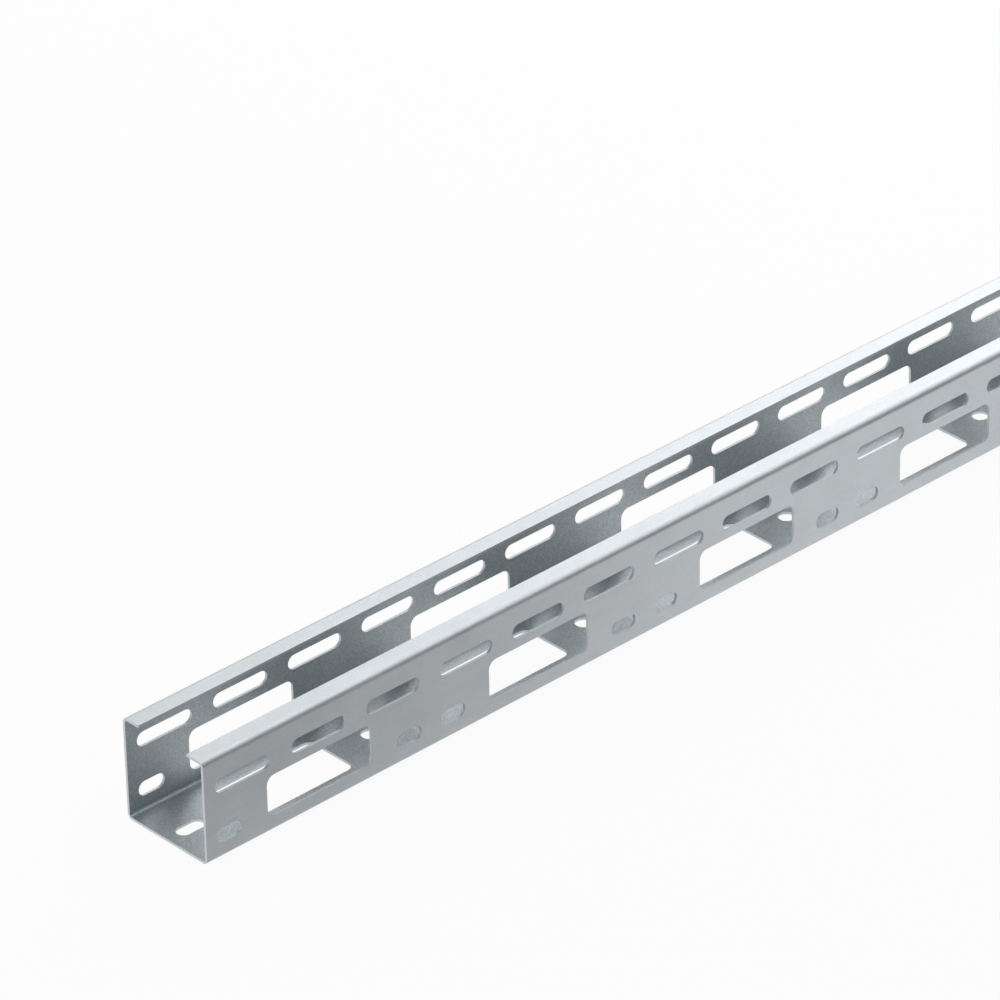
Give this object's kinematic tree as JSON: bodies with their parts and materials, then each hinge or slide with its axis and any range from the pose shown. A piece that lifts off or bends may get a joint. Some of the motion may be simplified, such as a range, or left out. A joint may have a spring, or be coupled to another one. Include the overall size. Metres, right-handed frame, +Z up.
{
  "type": "luminaire support rail",
  "caption": "Perforated open-top sheet-steel channel with inward lips, slots and windows in its walls and base, for carrying luminaires and cables.",
  "frame": {"origin": "centre of the underside of the base, halfway along the rail", "axes": "+X along the rail, +Y across it, +Z up from the base to the lips"},
  "size_m": [3, 0.06, 0.06],
  "materials": {
    "galvanised_steel": "satin galvanised zinc with a fine mottled grain"
  },
  "bodies": {
    "root": {"rail": "galvanised_steel"}
  },
  "joints": []
}
